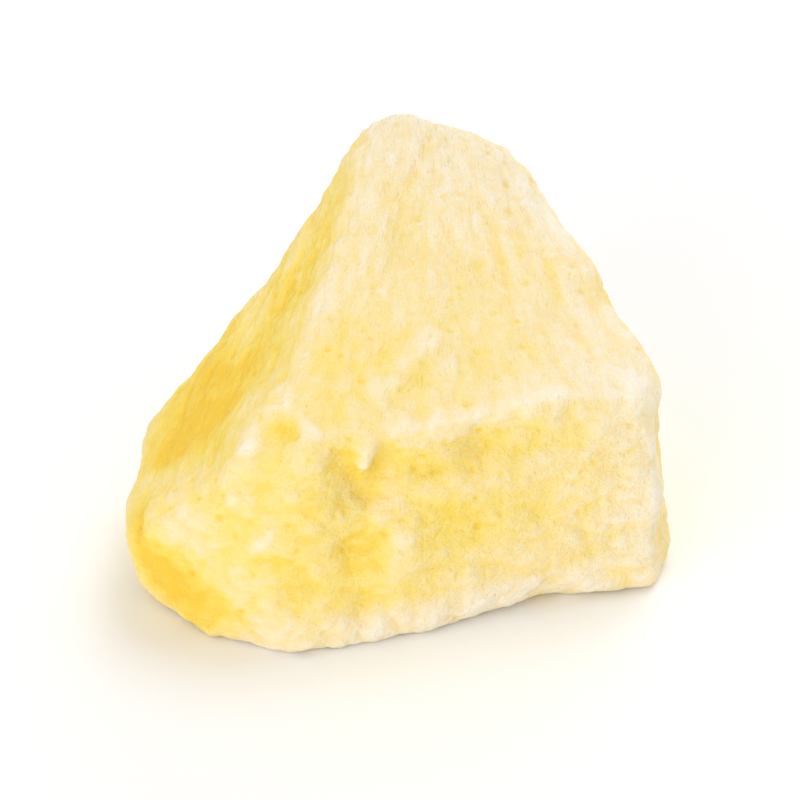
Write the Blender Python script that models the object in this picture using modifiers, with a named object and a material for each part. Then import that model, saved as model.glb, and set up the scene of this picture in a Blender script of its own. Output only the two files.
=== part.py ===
"""A freeze-dried pineapple chunk: one thick piece of a peeled ring, cut by knife, dried, standing on its underside.

The chunk is a fan seen from above. Its narrow end, at the back, comes from beside the core of the fruit and
its wide end, at the front, is where the peel was cut away. The top and the underside are slice faces.
"""
import math

import bmesh
import bpy
from mathutils import Matrix, Vector, noise

NAME = "pineapple_chunk"
MM = 0.001

# Distances below are millimetres and angles are degrees.
BLOCK_SIDE = 70.0
MIDDLE = Vector((0.0, 12.0, 7.0))
CORE_AXIS = Vector((1.1, 33.5, 0.0))
TYPICAL_RADIUS = 24.0

# Each knife cut: its facing, round from the front towards the right; its lean, up from level;
# and its distance from the middle.
CUTS = (
    ("slice face on top", 27, 74, 6.6),
    ("peel side", 18, 3, 9.8),
    ("peel side, left part", -18, 3, 13.1),
    ("undercut below the nose", -51, -15, 15.8),
    ("nose", -46, 30, 13.8),
    ("left shoulder", -92, 44, 7.8),
    ("left wall", -96, -9, 13.2),
    ("left of the core end", -137, 0, 9.4),
    ("core end", 173, 7, 13.4),
    ("right of the core end", 149, 6, 12.7),
    ("right wall", 116, 2, 10.5),
    ("right end", 78, 0, 13.7),
    ("slice face underneath", 0, -90, 7.15),
)

FINE_VOXEL = 0.42
ROUNDING_PASSES = 16
VOXEL = 0.65
SETTLING_PASSES = 2

# Each hollow runs from its first point to its second, as wide as its reach to each side and as deep as its
# last number. A ridge has a depth below zero.
HOLLOWS = (
    ("core end of the slice face", (-2.2, 21.6, 15.4), (3.6, 20.4, 15.6), 4.2, -0.4),
    ("groove under the lip, left", (-0.6, 1.8, 9.5), (4.0, 3.2, 9.9), 1.5, 0.5),
    ("groove under the lip, right", (4.0, 3.2, 9.9), (8.4, 4.6, 10.3), 1.7, 0.65),
    ("lip", (0.6, 2.5, 11.1), (8.2, 4.8, 11.2), 1.7, -0.35),
    ("dimple at the corner", (-6.3, 1.9, 11.8), (-6.3, 1.3, 11.2), 1.7, 0.9),
    ("torn pit, left", (-2.8, 1.2, 10.4), (-2.2, 1.3, 8.3), 1.4, 0.65),
    ("torn pit, right", (-0.6, 1.7, 10.2), (-1.3, 1.5, 8.3), 1.3, 0.6),
    ("flake between the pits", (-1.8, 1.6, 10.8), (-1.8, 1.5, 10.2), 0.9, -0.3),
    ("flakes below the pits", (-2.4, 1.1, 7.3), (-0.9, 1.6, 7.3), 1.1, -0.28),
    ("corner ridge", (-7.9, 1.4, 11.5), (-7.9, 1.1, 8.8), 1.3, -0.45),
    ("bump below the corner", (-6.4, 0.8, 6.9), (-6.4, 0.8, 6.3), 1.3, -0.3),
    ("hollow below the bump", (-5.6, 0.5, 5.0), (-5.0, 0.5, 3.6), 1.7, 0.4),
    ("upright furrow", (-2.0, 1.2, 6.2), (-2.0, 0.9, 2.4), 1.8, 0.4),
    ("pale streak", (0.1, 1.8, 6.0), (0.1, 1.6, 4.0), 1.1, -0.25),
    ("waist of the foot", (4.4, 2.9, 0.4), (6.6, 3.6, 0.4), 3.0, 0.45),
    ("right part of the foot", (7.8, 3.9, 0.3), (9.6, 4.5, 0.3), 2.2, 0.25),
    ("nose tip", (-11.8, 3.2, 6.2), (-10.2, 2.2, 6.0), 1.6, -0.3),
    ("fibre ridge on top", (1.3, 8.6, 12.7), (-1.0, 4.9, 12.0), 1.1, -0.3),
    ("dip on top", (1.4, 14.4, 14.2), (4.2, 13.6, 13.8), 3.0, 0.3),
    ("sag near the right wall", (8.6, 10.0, 12.0), (9.4, 12.6, 12.2), 2.4, 0.25),
    ("furrow on the shoulder", (-8.6, 8.0, 9.2), (-6.2, 15.0, 11.4), 1.9, 0.22),
    ("hollow in the left wall", (-13.2, 9.0, 2.6), (-12.6, 13.0, 2.4), 2.6, 0.5),
    ("split beside the core end", (-8.6, 17.4, 3.0), (-5.2, 20.6, 7.8), 2.2, 0.6),
    ("hollow in the core end", (1.0, 25.2, 9.0), (1.6, 25.4, 5.0), 3.2, 0.6),
    ("furrow in the right wall", (12.2, 10.8, 7.4), (7.8, 20.2, 8.6), 2.0, 0.5),
    ("pore in the right wall", (10.6, 14.6, 3.6), (10.2, 15.4, 3.4), 1.8, 0.6),
    ("scoop in the right end", (13.4, 7.6, 8.2), (13.6, 8.6, 4.4), 2.2, 0.4),
    ("rim of the right end", (13.2, 6.0, 10.8), (13.3, 6.4, 9.6), 1.8, 0.25),
    ("foot of the right end", (13.5, 6.6, 3.4), (13.5, 7.2, 2.4), 2.2, 0.35),
)

# Shrinking in the dryer: the lumps' size across and their height.
SWELLS = ((9.0, 0.42), (4.2, 0.22))
FIBRE_WIDTH = 2.1
FIBRE_LENGTH = 9.0
FIBRE_HEIGHT = 0.16

# The underside settles flat where it stands: whatever reaches below this level is pressed up to it.
RESTING_LEVEL = 0.0

FLESH_COLOUR = (0.955, 0.76, 0.33, 1.0)
FLESH_ROUGHNESS = 0.72


def clear_scene():
    for obj in list(bpy.data.objects):
        bpy.data.objects.remove(obj)


def facing_vector(facing, lean):
    turn = math.radians(facing)
    rise = math.radians(lean)
    return Vector((math.sin(turn) * math.cos(rise), -math.cos(turn) * math.cos(rise), math.sin(rise)))


def cut_block(collection):
    """A cube of fruit, trimmed by one knife cut after another."""
    bm = bmesh.new()
    bmesh.ops.create_cube(bm, size=BLOCK_SIDE)
    bmesh.ops.translate(bm, vec=MIDDLE, verts=bm.verts)
    for _, facing, lean, reach in CUTS:
        outward = facing_vector(facing, lean)
        geometry = bm.verts[:] + bm.edges[:] + bm.faces[:]
        cut = bmesh.ops.bisect_plane(
            bm, geom=geometry, plane_co=MIDDLE + outward * reach, plane_no=outward, clear_outer=True
        )
        rim = [item for item in cut["geom_cut"] if isinstance(item, bmesh.types.BMEdge)]
        bmesh.ops.contextual_create(bm, geom=rim)
    bmesh.ops.recalc_face_normals(bm, faces=bm.faces)
    mesh = bpy.data.meshes.new(NAME)
    bm.to_mesh(mesh)
    bm.free()
    mesh.transform(Matrix.Scale(MM, 4))
    obj = bpy.data.objects.new(NAME, mesh)
    collection.objects.link(obj)
    return obj


def round_edges(obj):
    """The sharp knife edges worn down to about a millimetre, then even quads all over."""
    fine = obj.modifiers.new("fine quads", "REMESH")
    fine.mode = "VOXEL"
    fine.voxel_size = FINE_VOXEL * MM
    rounding = obj.modifiers.new("rounding", "SMOOTH")
    rounding.factor = 0.5
    rounding.iterations = ROUNDING_PASSES
    even = obj.modifiers.new("even quads", "REMESH")
    even.mode = "VOXEL"
    even.voxel_size = VOXEL * MM
    settling = obj.modifiers.new("settling", "SMOOTH")
    settling.factor = 0.5
    settling.iterations = SETTLING_PASSES
    bpy.context.view_layer.update()
    evaluated = obj.evaluated_get(bpy.context.evaluated_depsgraph_get())
    rounded = bpy.data.meshes.new_from_object(evaluated)
    obj.modifiers.clear()
    sharp = obj.data
    obj.data = rounded
    bpy.data.meshes.remove(sharp)
    rounded.name = NAME


def distance_to_run(point, start, end):
    run = end - start
    along = (point - start).dot(run) / run.length_squared
    along = min(1.0, max(0.0, along))
    return (point - (start + run * along)).length


def relief(point):
    """How far the dried surface stands out at a point, in millimetres."""
    height = 0.0
    for seed, (size, swell) in enumerate(SWELLS):
        shift = Vector((3.7 * seed, 1.3, 8.1 * seed))
        height += swell * noise.noise(point / size + shift)
    from_core = point - CORE_AXIS
    from_core.z = 0.0
    around = math.atan2(from_core.x, -from_core.y) * TYPICAL_RADIUS
    fibres = Vector((around / FIBRE_WIDTH, from_core.length / FIBRE_LENGTH, point.z / FIBRE_WIDTH))
    height += FIBRE_HEIGHT * noise.noise(fibres)
    for _, start, end, reach, depth in HOLLOWS:
        away = distance_to_run(point, Vector(start), Vector(end)) / reach
        if away < 1.0:
            height -= depth * (1.0 - away * away) ** 2
    return height


def dry(obj):
    mesh = obj.data
    moved = []
    for vertex in mesh.vertices:
        point = vertex.co / MM
        point += vertex.normal * relief(point)
        point.z = max(point.z, RESTING_LEVEL)
        moved.append(point * MM)
    for vertex, place in zip(mesh.vertices, moved):
        vertex.co = place
    mesh.update()


def centre_on_base(obj):
    mesh = obj.data
    xs = [vertex.co.x for vertex in mesh.vertices]
    ys = [vertex.co.y for vertex in mesh.vertices]
    zs = [vertex.co.z for vertex in mesh.vertices]
    middle_x = (min(xs) + max(xs)) / 2
    middle_y = (min(ys) + max(ys)) / 2
    mesh.transform(Matrix.Translation((-middle_x, -middle_y, -min(zs))))
    mesh.update()


def flesh():
    material = bpy.data.materials.new("dried flesh")
    material.use_nodes = True
    shader = material.node_tree.nodes["Principled BSDF"]
    shader.inputs["Base Color"].default_value = FLESH_COLOUR
    shader.inputs["Roughness"].default_value = FLESH_ROUGHNESS
    shader.inputs["Metallic"].default_value = 0.0
    return material


def main():
    clear_scene()
    collection = bpy.data.collections.new("freeze-dried pineapple")
    bpy.context.scene.collection.children.link(collection)
    chunk = cut_block(collection)
    round_edges(chunk)
    dry(chunk)
    centre_on_base(chunk)
    chunk.data.materials.clear()
    chunk.data.materials.append(flesh())
    chunk.data.shade_smooth()


main()
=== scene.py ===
"""Looks of a freeze-dried pineapple chunk: dry, fibrous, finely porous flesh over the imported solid."""
import math

import bpy
import numpy as np
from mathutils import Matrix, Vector, noise


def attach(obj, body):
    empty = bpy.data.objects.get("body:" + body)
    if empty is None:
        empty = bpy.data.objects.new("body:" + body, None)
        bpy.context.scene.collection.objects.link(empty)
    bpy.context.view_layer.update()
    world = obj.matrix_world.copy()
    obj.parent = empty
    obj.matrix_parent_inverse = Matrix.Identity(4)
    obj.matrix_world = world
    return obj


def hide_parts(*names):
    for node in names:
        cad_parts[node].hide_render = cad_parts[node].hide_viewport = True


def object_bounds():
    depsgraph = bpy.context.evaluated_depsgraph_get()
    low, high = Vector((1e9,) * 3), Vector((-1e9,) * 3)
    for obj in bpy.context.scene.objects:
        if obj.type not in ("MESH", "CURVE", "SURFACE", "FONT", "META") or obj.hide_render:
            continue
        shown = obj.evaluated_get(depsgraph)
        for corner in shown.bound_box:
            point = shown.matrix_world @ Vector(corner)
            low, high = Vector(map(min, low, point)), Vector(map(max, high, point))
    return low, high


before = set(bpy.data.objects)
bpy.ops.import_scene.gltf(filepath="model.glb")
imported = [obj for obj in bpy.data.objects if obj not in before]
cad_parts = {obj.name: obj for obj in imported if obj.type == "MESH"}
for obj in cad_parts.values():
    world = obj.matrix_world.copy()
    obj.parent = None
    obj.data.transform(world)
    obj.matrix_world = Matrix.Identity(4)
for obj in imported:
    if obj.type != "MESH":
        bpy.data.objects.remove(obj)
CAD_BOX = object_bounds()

# Distances in the values below are millimetres, unless a comment says otherwise.
MM = 0.001
NODE = "pineapple_chunk"

# The fibres run outwards from the core of the fruit, which stands behind the chunk.
CORE_X = 1.2
CORE_Y = 20.7
TYPICAL_RADIUS = 24.0

# The fine mesh, and how many times its values are averaged to tell the broad form from the detail.
SURFACE_VOXEL = 0.157
FACET_PASSES = 8
CREASE_PASSES = 8
EDGE_PASSES = 60
FACING_PASSES = 12

# Each size of fibre: its width, its length and its height. Its rise follows the size of a noise, times the
# gain and less the base.
FIBRES = (
    ("bundles", 1.6, 9.0, 0.10),
    ("strands", 0.66, 4.5, 0.07),
)
FIBRE_GAIN = 2.0
FIBRE_BASE = 0.5

# Each size of lump: width and height.
LUMPS = (
    ("lumps", 2.8, 0.15),
    ("crumbs", 0.9, 0.07),
    ("grains", 0.5, 0.04),
)

PORE_SPACING = 1.1
PORE_RADIUS = 0.30
PORE_DEPTH = 0.12

# Each noise starts at its own place: its seed times one of these shifts.
NOISE_SHIFT = (17.3, 5.1, 9.7)
CELL_SHIFT = (7.9, 3.3, 12.1)
FIRST_FIBRE_SEED = 1
FIRST_LUMP_SEED = 11
PORE_SEED = 3

# Each hollow follows its path, as wide as its reach to each side and as deep as its last number. A ridge
# has a depth below zero.
HOLLOWS = (
    ("crack under the lip", ((-0.3, -11.1, 10.1), (3.9, -9.6, 10.2), (8.2, -8.2, 10.6)), 0.75, 0.07),
    ("torn pit", ((-2.4, -11.3, 9.7), (-1.6, -11.1, 8.2), (-0.6, -10.8, 9.4)), 0.6, 0.20),
    ("flake in the pit", ((-1.7, -11.3, 10.7), (-1.7, -11.3, 10.1)), 0.45, -0.06),
    ("dimple", ((-5.7, -10.6, 11.4), (-5.2, -10.9, 11.3)), 1.2, 0.12),
    ("rim of the dimple", ((-6.0, -7.5, 12.1), (-7.2, -8.8, 11.2), (-7.3, -11.7, 10.6)), 0.8, -0.10),
)

# Each patch, paler above zero and deeper yellow below zero, follows its path, fades out over its reach, and
# changes the colour by its last number. Most are painted light and shade; the flakes and streaks are the
# flesh's own tone.
PAINTED_LIGHT_AND_TONE_PATCHES = (
    # Paler towards the right end and deeper yellow towards the left of the peel side: partly the flesh's
    # own tone, partly painted light from the right and behind.
    ("right end", ((12.2, -7.0, 3.0), (12.2, -6.0, 9.5)), 4.0, 0.32),
    ("peel side, right part", ((4.6, -9.9, 2.8), (8.8, -8.2, 3.4), (8.8, -8.2, 8.0)), 3.8, 0.15),
    ("peel side, middle", ((2.4, -10.3, 8.4), (2.8, -10.3, 5.4)), 2.2, -0.08),
    ("peel side, left part", ((-4.6, -11.8, 10.4), (-5.0, -12.3, 6.2)), 1.9, -0.11),
    ("pale band below the nose", ((-10.4, -11.4, 6.0), (-7.8, -12.4, 3.8), (-5.5, -13.0, 2.0)), 1.4, 0.10),
    # Painted light: the foot of the peel side paler, as light thrown up from the floor.
    ("foot of the peel side", ((-8.4, -11.9, 0.9), (-1.0, -12.0, 1.0), (9.4, -8.6, 0.9)), 2.0, 0.36),
    # Painted shade in the furrow, and painted light on the bump with painted shade below it; the streak is
    # the flesh's own paler tone.
    ("furrow in the peel side", ((-1.9, -11.7, 6.2), (-1.9, -12.0, 2.8)), 1.7, -0.07),
    ("streak on the peel side", ((-0.1, -11.4, 6.2), (-0.1, -11.6, 4.6)), 0.7, 0.16),
    ("bump below the corner", ((-6.2, -12.5, 7.5), (-6.6, -12.7, 6.5)), 1.0, 0.18),
    ("below the bump", ((-5.7, -12.3, 5.2), (-5.4, -12.3, 4.2)), 1.3, -0.08),
    # Painted light on the top of the nose, and painted shade on the undercut below it, deep yellow where it
    # faces down.
    ("nose", ((-11.3, -7.2, 6.8), (-11.2, -9.6, 6.3), (-9.8, -10.9, 6.2)), 2.1, 0.14),
    ("undercut", ((-12.3, -9.4, 5.0), (-11.6, -10.4, 3.0), (-9.2, -11.6, 1.4)), 2.9, -0.47),
    # Paler towards the right and the core end of the slice face and deeper yellow low at the left: partly
    # the flesh's own tone, partly painted light from the right and behind, with a painted highlight on the
    # rim over the right wall.
    ("slice face, right", ((8.5, -1.0, 12.8), (10.5, -5.5, 11.8)), 3.5, 0.14),
    ("slice face, low at the left", ((-5.0, -6.5, 12.8), (-1.5, -6.0, 12.4)), 4.0, -0.13),
    ("slice face, low in the middle", ((0.5, -5.0, 12.6), (5.0, -5.0, 12.2)), 3.5, -0.04),
    ("slice face, above the pit", ((-4.2, -9.0, 12.0), (-2.2, -10.4, 11.6)), 1.7, -0.09),
    ("core end of the slice face", ((1.0, 10.0, 16.2), (3.0, 6.0, 15.3)), 6.0, 0.15),
    ("rim over the right wall", ((6.6, 6.6, 14.8), (8.0, 4.2, 14.3)), 2.6, 0.22),
    ("streak on the slice face", ((1.3, -4.3, 12.7), (-0.9, -7.9, 12.0)), 1.2, 0.08),
    # Painted shade: the shoulder and its low and inner parts deeper yellow, though they face up.
    ("shoulder", ((-3.8, 6.8, 14.0), (-7.6, -4.0, 10.4)), 3.0, -0.19),
    ("low on the shoulder", ((-8.8, -1.6, 9.0), (-10.4, -4.8, 7.6)), 3.2, -0.42),
    (
        "inner side of the low shoulder",
        ((-8.9, -4.4, 8.8), (-8.8, -6.4, 8.5), (-8.6, -8.4, 9.4)),
        1.9,
        -0.16,
    ),
    ("ridge by the dimple", ((-6.4, -5.8, 11.6), (-7.2, -7.4, 11.0)), 1.1, 0.19),
    (
        "pale rim high on the shoulder",
        ((-3.3, 6.9, 14.6), (-4.2, 6.0, 13.5), (-4.9, 4.4, 12.6)),
        1.4,
        0.22,
    ),
    # Painted shade: the outer edge of the shoulder deeper yellow.
    (
        "outer edge of the shoulder",
        ((-8.6, 2.4, 9.2), (-11.3, -0.8, 6.8), (-11.9, -4.0, 6.2)),
        2.4,
        -0.26,
    ),
    # Painted highlight on the lip, painted light that lifts the shade under it, and a painted shadow line
    # just under the lip.
    ("lip", ((1.2, -9.0, 11.8), (6.4, -6.8, 11.9)), 3.0, 0.07),
    ("lip, towards the right end", ((6.4, -7.2, 11.6), (11.4, -5.4, 11.3)), 1.9, 0.08),
    ("under the lip", ((2.6, -9.8, 9.8), (8.4, -8.2, 10.6)), 1.8, 0.07),
    ("line under the lip", ((3.6, -9.4, 10.5), (8.4, -8.2, 10.9)), 0.7, -0.11),
    (
        # Pale flakes round the pit, partly the flesh's own tone, partly painted light that lifts the pit's
        # shade.
        "flakes round the pit",
        ((-2.7, -11.3, 8.8), (-2.2, -11.3, 7.8), (-0.9, -11.0, 7.9), (-0.5, -10.5, 9.0)),
        0.7,
        0.18,
    ),
    ("flake in the pit", ((-1.7, -11.3, 10.6), (-1.7, -11.3, 10.1)), 0.6, 0.12),
    # Painted shade in the dimple: deeper yellow there.
    ("dimple", ((-5.7, -10.4, 11.4), (-5.0, -11.2, 11.2)), 1.2, -0.13),
    ("flake beside the dimple", ((-4.0, -10.8, 11.7), (-3.9, -11.2, 11.5)), 0.6, 0.06),
    ("flake below the dimple", ((-5.1, -12.0, 11.0), (-4.8, -12.0, 10.8)), 0.6, 0.08),
)

# The flesh's colours from the deep yellow of painted shade in hollows, through the trimmed sides, to the
# frosted slice face and edges, which are partly painted light.
FLESH_COLOURS = (
    (0.0, (0.93, 0.60, 0.06)),
    (0.2, (0.955, 0.69, 0.115)),
    (0.4, (0.97, 0.745, 0.23)),
    (0.6, (0.97, 0.765, 0.37)),
    (0.8, (0.965, 0.815, 0.54)),
    (1.0, (0.96, 0.87, 0.70)),
)

# What each measure of the surface does to the frost, which also carries painted light and shade: the
# measure's lowest and highest value, and the change at each of them. The last one sets the roughness in the
# same way.
# Level faces paler and steep sides deeper yellow: partly the frost of the slice face, partly painted light
# from above and painted shade on the sides.
SLICE_FACE_FROST_AND_PAINTED_LIGHT = (0.74, 0.93, 0.40, 0.61)
# Standing edges paler and broad hollows deeper yellow: partly frost on the edges, partly painted highlight
# on the edges and painted shade in the hollows.
EDGE_FROST_AND_PAINTED_LIGHT = (-0.06, 0.14, -0.08, 0.17)
# Painted shade in small creases and hollows, deeper yellow there, and painted highlight on small ridges,
# paler there.
CREASE_PAINTED_LIGHT = (-0.05, 0.05, -0.09, 0.09)
MOTTLING_FROST = (0.3, 0.7, -0.06, 0.06)
STREAK_FROST = (0.3, 0.7, -0.08, 0.08)
# Painted shade in the pores: deeper yellow there.
PORE_PAINTED_SHADE = (0.0, 1.0, 0.0, -0.10)
FLECK_FROST = (0.58, 0.70, 0.0, 0.12)
DRYNESS_ROUGHNESS = (0.3, 0.7, 0.68, 0.88)

# Each texture's scale, in waves to a metre, then its detail and its roughness. Streaks and hairs follow the
# fibres instead: their stretch gives the waves to a millimetre across the fibres, along them and up.
MOTTLING = (240.0, 4.0, 0.6)
STREAKS = (1.0, 4.0, 0.6)
STREAK_STRETCH = (1.1, 0.16, 1.1)
FLECKS = (1500.0, 2.0, 0.5)
DRYNESS = (900.0, 2.0, 0.5)
HAIRS = (1.0, 2.0, 0.6)
HAIR_STRETCH = (5.0, 0.7, 5.0)
GRAINS = (4200.0, 2.0, 0.6)

# The hairs and grains that are too fine for the mesh: how strongly they show, and how deep they look.
BUMP_STRENGTH = 0.9
HAIR_BUMP = 0.12
GRAIN_BUMP = 0.08

# Light that spreads inside the flesh: its share, how far red, green and blue reach, and the depth for one.
GLOW_WEIGHT = 0.2
GLOW_BY_COLOUR = (1.0, 0.7, 0.25)
GLOW_DEPTH = 1.0
FLESH_SPECULAR = 0.25

FLOOR_SIDE = 3000.0
FLOOR_GAP = 0.02
FLOOR_COLOUR = (0.98, 0.98, 0.98, 1.0)
FLOOR_ROUGHNESS = 0.9
FLOOR_SPECULAR = 0.1

# Each light's place, and its power in watts.
LIGHTS = (
    ("overhead", (120.0, 120.0, 420.0), 0.60),
    ("front fill", (-190.0, -360.0, 128.0), 0.66),
    ("back fill", (140.0, 380.0, 128.0), 0.42),
)
LIGHT_SIZE = 260.0
LIGHT_TARGET = (0.0, 0.0, 6.0)
ROOM_COLOUR = (1.0, 1.0, 1.0, 1.0)
ROOM_STRENGTH = 0.66

# The camera looks down by its elevation, in degrees. The view's width is measured at the chunk.
ELEVATION = 32.0
LENS = 300.0
SENSOR = 36.0
VIEW_WIDTH = 40.0
LOOK_AT = (0.0, 0.0, 6.7)
NEAREST_SEEN = 10.0
FARTHEST_SEEN = 10000.0


def smooth_step(low, high, value):
    share = np.clip((value - low) / (high - low), 0.0, 1.0)
    return share * share * (3.0 - 2.0 * share)


def fine_copy(node):
    """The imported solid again, as an even fine mesh with its facets smoothed away."""
    piece = bpy.data.objects.new("pineapple_flesh", node.data.copy())
    bpy.context.scene.collection.objects.link(piece)
    remesh = piece.modifiers.new("even quads", "REMESH")
    remesh.mode = "VOXEL"
    remesh.voxel_size = SURFACE_VOXEL * MM
    smooth = piece.modifiers.new("facets away", "SMOOTH")
    smooth.factor = 0.5
    smooth.iterations = FACET_PASSES
    bpy.context.view_layer.update()
    evaluated = piece.evaluated_get(bpy.context.evaluated_depsgraph_get())
    mesh = bpy.data.meshes.new_from_object(evaluated)
    piece.modifiers.clear()
    piece.data = mesh
    mesh.name = piece.name
    return piece


def read_points(mesh):
    flat = np.empty(len(mesh.vertices) * 3, dtype=np.float32)
    mesh.vertices.foreach_get("co", flat)
    return flat.reshape(-1, 3).astype(float) / MM


def write_points(mesh, points):
    mesh.vertices.foreach_set("co", (points * MM).astype(np.float32).ravel())
    mesh.update()


def read_normals(mesh):
    flat = np.empty(len(mesh.vertices) * 3, dtype=np.float32)
    mesh.vertex_normals.foreach_get("vector", flat)
    return flat.reshape(-1, 3).astype(float)


def read_edges(mesh):
    flat = np.empty(len(mesh.edges) * 2, dtype=np.int32)
    mesh.edges.foreach_get("vertices", flat)
    return flat.reshape(-1, 2)


def spread(values, edges, passes):
    """Each vertex's values averaged with its neighbours', again and again."""
    count = len(values)
    first, second = edges[:, 0], edges[:, 1]
    neighbours = np.bincount(first, minlength=count) + np.bincount(second, minlength=count)
    values = np.array(values, dtype=float)
    for _ in range(passes):
        for column in values.T:
            total = np.bincount(first, column[second], count) + np.bincount(second, column[first], count)
            column[:] = 0.5 * column + 0.5 * total / neighbours
    return values


def noise_at(places, seed):
    shift = Vector([step * seed for step in NOISE_SHIFT])
    return np.array([noise.noise(Vector(place) + shift) for place in places])


def nearest_cell(places, seed):
    """Distance from each place to the nearest of the points strewn one to each cell."""
    shift = Vector([step * seed for step in CELL_SHIFT])
    return np.array([noise.voronoi(Vector(place) + shift)[0][0] for place in places])


def fibre_places(points):
    """Each point by its place among the fibres: across them, along them and up."""
    x = points[:, 0] - CORE_X
    y = CORE_Y - points[:, 1]
    across = np.arctan2(x, y) * TYPICAL_RADIUS
    along = np.hypot(x, y)
    return np.stack([across, along, points[:, 2]], axis=1)


def distance_to_run(points, start, end):
    run = end - start
    along = np.clip((points - start) @ run / (run @ run), 0.0, 1.0)
    return np.linalg.norm(points - (start + along[:, None] * run), axis=1)


def nearness(points, path, reach):
    """One on the path, falling smoothly to zero at its reach."""
    corners = np.array(path)
    runs = zip(corners, corners[1:])
    away = np.min([distance_to_run(points, start, end) for start, end in runs], axis=0)
    return (1.0 - np.clip(away / reach, 0.0, 1.0) ** 2) ** 2


def pore_shares(points):
    """One at the middle of a pore, falling smoothly to zero at its rim."""
    away = nearest_cell(points / PORE_SPACING, PORE_SEED) * PORE_SPACING
    return 1.0 - smooth_step(0.0, PORE_RADIUS, away)


def relief(points, fibres, pores):
    """How far the surface stands out at each point, in millimetres."""
    height = np.zeros(len(points))
    for seed, (_, width, length, rise) in enumerate(FIBRES, start=FIRST_FIBRE_SEED):
        waves = noise_at(fibres / np.array([width, length, width]), seed)
        height += rise * (np.abs(waves) * FIBRE_GAIN - FIBRE_BASE)
    for seed, (_, size, rise) in enumerate(LUMPS, start=FIRST_LUMP_SEED):
        height += rise * noise_at(points / size, seed)
    height -= PORE_DEPTH * pores
    for _, path, reach, depth in HOLLOWS:
        height -= depth * nearness(points, path, reach)
    return height


def patches_of_painted_light_and_tone(points):
    frost_and_painted_light = np.zeros(len(points))
    for _, path, reach, strength in PAINTED_LIGHT_AND_TONE_PATCHES:
        frost_and_painted_light += strength * nearness(points, path, reach)
    return frost_and_painted_light


def set_attribute(mesh, name, values):
    layer = mesh.attributes.new(name, "FLOAT", "POINT")
    layer.data.foreach_set("value", np.asarray(values, dtype=np.float32))


def set_vector(mesh, name, values):
    layer = mesh.attributes.new(name, "FLOAT_VECTOR", "POINT")
    layer.data.foreach_set("vector", np.asarray(values, dtype=np.float32).ravel())


def note_edges(mesh, points, normals):
    """Notes how far each point stands out, close to it and more widely, and how level it lies."""
    edges = read_edges(mesh)
    near = spread(points, edges, CREASE_PASSES)
    wide = spread(near, edges, EDGE_PASSES)
    facing = spread(normals, edges, FACING_PASSES)
    facing /= np.linalg.norm(facing, axis=1)[:, None]
    set_attribute(mesh, "crease", np.einsum("ij,ij->i", points - near, normals))
    set_attribute(mesh, "edge", np.einsum("ij,ij->i", near - wide, normals))
    set_attribute(mesh, "slice_face", np.abs(facing[:, 2]))


def dry_surface(mesh):
    """Raises the fibres and sinks the pores, and notes for the material where edges and hollows are."""
    smooth_points = read_points(mesh)
    normals = read_normals(mesh)
    fibres = fibre_places(smooth_points)
    pores = pore_shares(smooth_points)
    height = relief(smooth_points, fibres, pores)
    points = smooth_points + normals * height[:, None]
    low, high = (np.array(corner) / MM for corner in CAD_BOX)
    points = np.clip(points, low, high)
    write_points(mesh, points)
    note_edges(mesh, points, normals)
    set_attribute(mesh, "pore", pores)
    # Patches of painted light and shade, with some of the flesh's own paler and deeper tone.
    set_attribute(mesh, "patch", patches_of_painted_light_and_tone(smooth_points))
    set_vector(mesh, "fibre_place", fibres)
    mesh.shade_smooth()


class Nodes:
    """A short way to write a node tree."""

    def __init__(self, tree):
        self.tree = tree

    def add(self, kind, **settings):
        node = self.tree.nodes.new(kind)
        for name, value in settings.items():
            setattr(node, name, value)
        return node

    def link(self, source, target):
        self.tree.links.new(source, target)

    def attribute(self, name, output="Fac"):
        return self.add("ShaderNodeAttribute", attribute_name=name).outputs[output]

    def noise(self, place, scale, detail, roughness):
        node = self.add("ShaderNodeTexNoise")
        node.inputs["Scale"].default_value = scale
        node.inputs["Detail"].default_value = detail
        node.inputs["Roughness"].default_value = roughness
        self.link(place, node.inputs["Vector"])
        return node.outputs["Fac"]

    def stretched(self, place, scale):
        node = self.add("ShaderNodeMapping")
        node.inputs["Scale"].default_value = scale
        self.link(place, node.inputs["Vector"])
        return node.outputs["Vector"]

    def map(self, value, low, high, to_low, to_high):
        node = self.add("ShaderNodeMapRange", clamp=True)
        node.inputs["From Min"].default_value = low
        node.inputs["From Max"].default_value = high
        node.inputs["To Min"].default_value = to_low
        node.inputs["To Max"].default_value = to_high
        self.link(value, node.inputs["Value"])
        return node.outputs["Result"]

    def sum(self, first, second):
        node = self.add("ShaderNodeMath", operation="ADD")
        self.link(first, node.inputs[0])
        self.link(second, node.inputs[1])
        return node.outputs[0]

    def ramp(self, value, stops):
        node = self.add("ShaderNodeValToRGB")
        elements = node.color_ramp.elements
        while len(elements) < len(stops):
            elements.new(0.5)
        for element, (place, colour) in zip(elements, stops):
            element.position = place
            element.color = (*colour, 1.0)
        self.link(value, node.inputs["Fac"])
        return node.outputs["Color"]

    def bump(self, height, depth):
        node = self.add("ShaderNodeBump")
        node.inputs["Strength"].default_value = BUMP_STRENGTH
        node.inputs["Distance"].default_value = depth * MM
        self.link(height, node.inputs["Height"])
        return node


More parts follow.
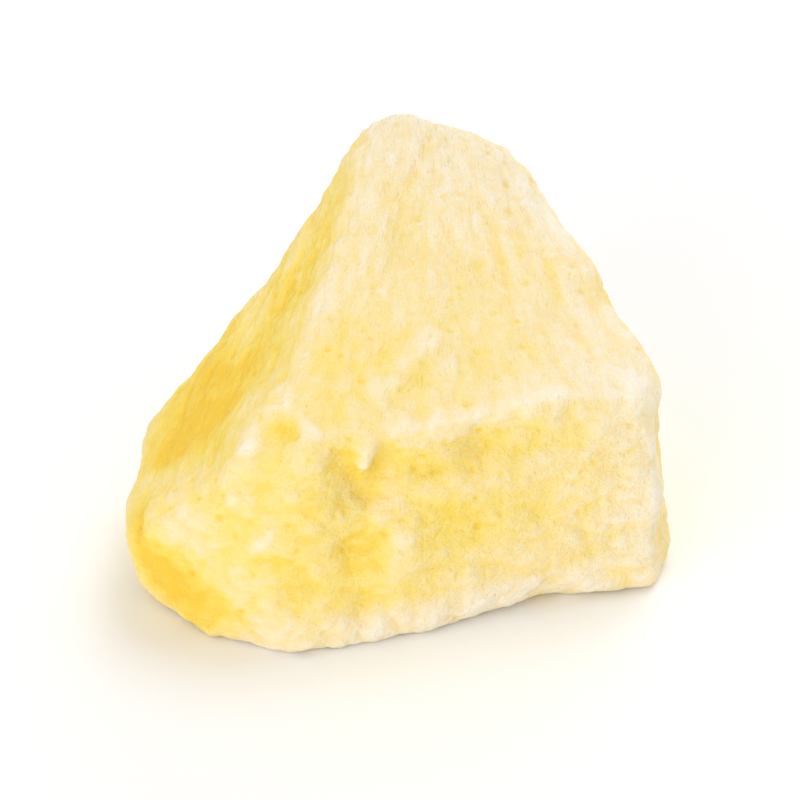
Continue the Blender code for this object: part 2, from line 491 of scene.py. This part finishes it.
def frost_and_painted_light_level(nodes, place, fibre_place):
    """How pale the flesh is, from deep yellow at zero to frosted at one: partly its own frost and tone,
    partly painted light and shade.
    """
    frost_and_painted_light = nodes.map(nodes.attribute("slice_face"), *SLICE_FACE_FROST_AND_PAINTED_LIGHT)
    # Patches of painted light and shade, with some of the flesh's own tone.
    frost_and_painted_light = nodes.sum(frost_and_painted_light, nodes.attribute("patch"))
    changes = (
        (nodes.attribute("edge"), EDGE_FROST_AND_PAINTED_LIGHT),
        (nodes.attribute("crease"), CREASE_PAINTED_LIGHT),
        (nodes.noise(place, *MOTTLING), MOTTLING_FROST),
        (nodes.noise(nodes.stretched(fibre_place, STREAK_STRETCH), *STREAKS), STREAK_FROST),
        (nodes.attribute("pore"), PORE_PAINTED_SHADE),
        (nodes.noise(place, *FLECKS), FLECK_FROST),
    )
    for measure, change in changes:
        frost_and_painted_light = nodes.sum(frost_and_painted_light, nodes.map(measure, *change))
    return frost_and_painted_light


def fine_grain(nodes, place, fibre_place):
    """Hairs and grains too fine for the mesh, as a bump."""
    grains = nodes.bump(nodes.noise(place, *GRAINS), GRAIN_BUMP)
    hairs = nodes.bump(nodes.noise(nodes.stretched(fibre_place, HAIR_STRETCH), *HAIRS), HAIR_BUMP)
    nodes.link(grains.outputs["Normal"], hairs.inputs["Normal"])
    return hairs.outputs["Normal"]


def flesh_material():
    material = bpy.data.materials.new("dried pineapple flesh")
    material.use_nodes = True
    nodes = Nodes(material.node_tree)
    shader = material.node_tree.nodes["Principled BSDF"]
    place = nodes.add("ShaderNodeTexCoord").outputs["Object"]
    fibre_place = nodes.attribute("fibre_place", "Vector")
    frost_and_painted_light = frost_and_painted_light_level(nodes, place, fibre_place)
    nodes.link(nodes.ramp(frost_and_painted_light, FLESH_COLOURS), shader.inputs["Base Color"])
    dryness = nodes.noise(place, *DRYNESS)
    nodes.link(nodes.map(dryness, *DRYNESS_ROUGHNESS), shader.inputs["Roughness"])
    shader.inputs["Specular IOR Level"].default_value = FLESH_SPECULAR
    shader.inputs["Subsurface Weight"].default_value = GLOW_WEIGHT
    shader.inputs["Subsurface Radius"].default_value = GLOW_BY_COLOUR
    shader.inputs["Subsurface Scale"].default_value = GLOW_DEPTH * MM
    nodes.link(fine_grain(nodes, place, fibre_place), shader.inputs["Normal"])
    return material


def floor_material():
    material = bpy.data.materials.new("pale floor")
    material.use_nodes = True
    shader = material.node_tree.nodes["Principled BSDF"]
    shader.inputs["Base Color"].default_value = FLOOR_COLOUR
    shader.inputs["Roughness"].default_value = FLOOR_ROUGHNESS
    shader.inputs["Specular IOR Level"].default_value = FLOOR_SPECULAR
    return material


def make_chunk():
    piece = fine_copy(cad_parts[NODE])
    dry_surface(piece.data)
    piece.data.materials.clear()
    piece.data.materials.append(flesh_material())
    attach(piece, "root")
    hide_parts(NODE)


def make_floor():
    bpy.ops.mesh.primitive_plane_add(size=FLOOR_SIDE * MM, location=(0.0, 0.0, -FLOOR_GAP * MM))
    floor = bpy.context.object
    floor.name = "floor"
    floor.data.materials.append(floor_material())


def aim(obj, place, target):
    obj.location = place
    obj.rotation_mode = "QUATERNION"
    obj.rotation_quaternion = (target - place).to_track_quat("-Z", "Y")


def soft_box(name, place, power):
    light = bpy.data.lights.new(name, "AREA")
    light.shape = "SQUARE"
    light.size = LIGHT_SIZE * MM
    light.energy = power
    obj = bpy.data.objects.new(name, light)
    bpy.context.scene.collection.objects.link(obj)
    aim(obj, Vector(place) * MM, Vector(LIGHT_TARGET) * MM)


def make_lights():
    world = bpy.data.worlds.new("studio")
    bpy.context.scene.world = world
    world.use_nodes = True
    background = world.node_tree.nodes["Background"]
    background.inputs["Color"].default_value = ROOM_COLOUR
    background.inputs["Strength"].default_value = ROOM_STRENGTH
    for name, place, power in LIGHTS:
        soft_box(name, place, power)


def make_camera():
    data = bpy.data.cameras.new("camera")
    data.lens = LENS
    data.sensor_width = SENSOR
    data.clip_start = NEAREST_SEEN * MM
    data.clip_end = FARTHEST_SEEN * MM
    camera = bpy.data.objects.new("camera", data)
    bpy.context.scene.collection.objects.link(camera)
    rise = math.radians(ELEVATION)
    back = Vector((0.0, -math.cos(rise), math.sin(rise)))
    distance = VIEW_WIDTH * LENS / SENSOR
    target = Vector(LOOK_AT) * MM
    aim(camera, target + back * distance * MM, target)
    bpy.context.scene.camera = camera


make_chunk()
make_floor()
make_lights()
make_camera()
bpy.context.scene.view_settings.view_transform = "Standard"
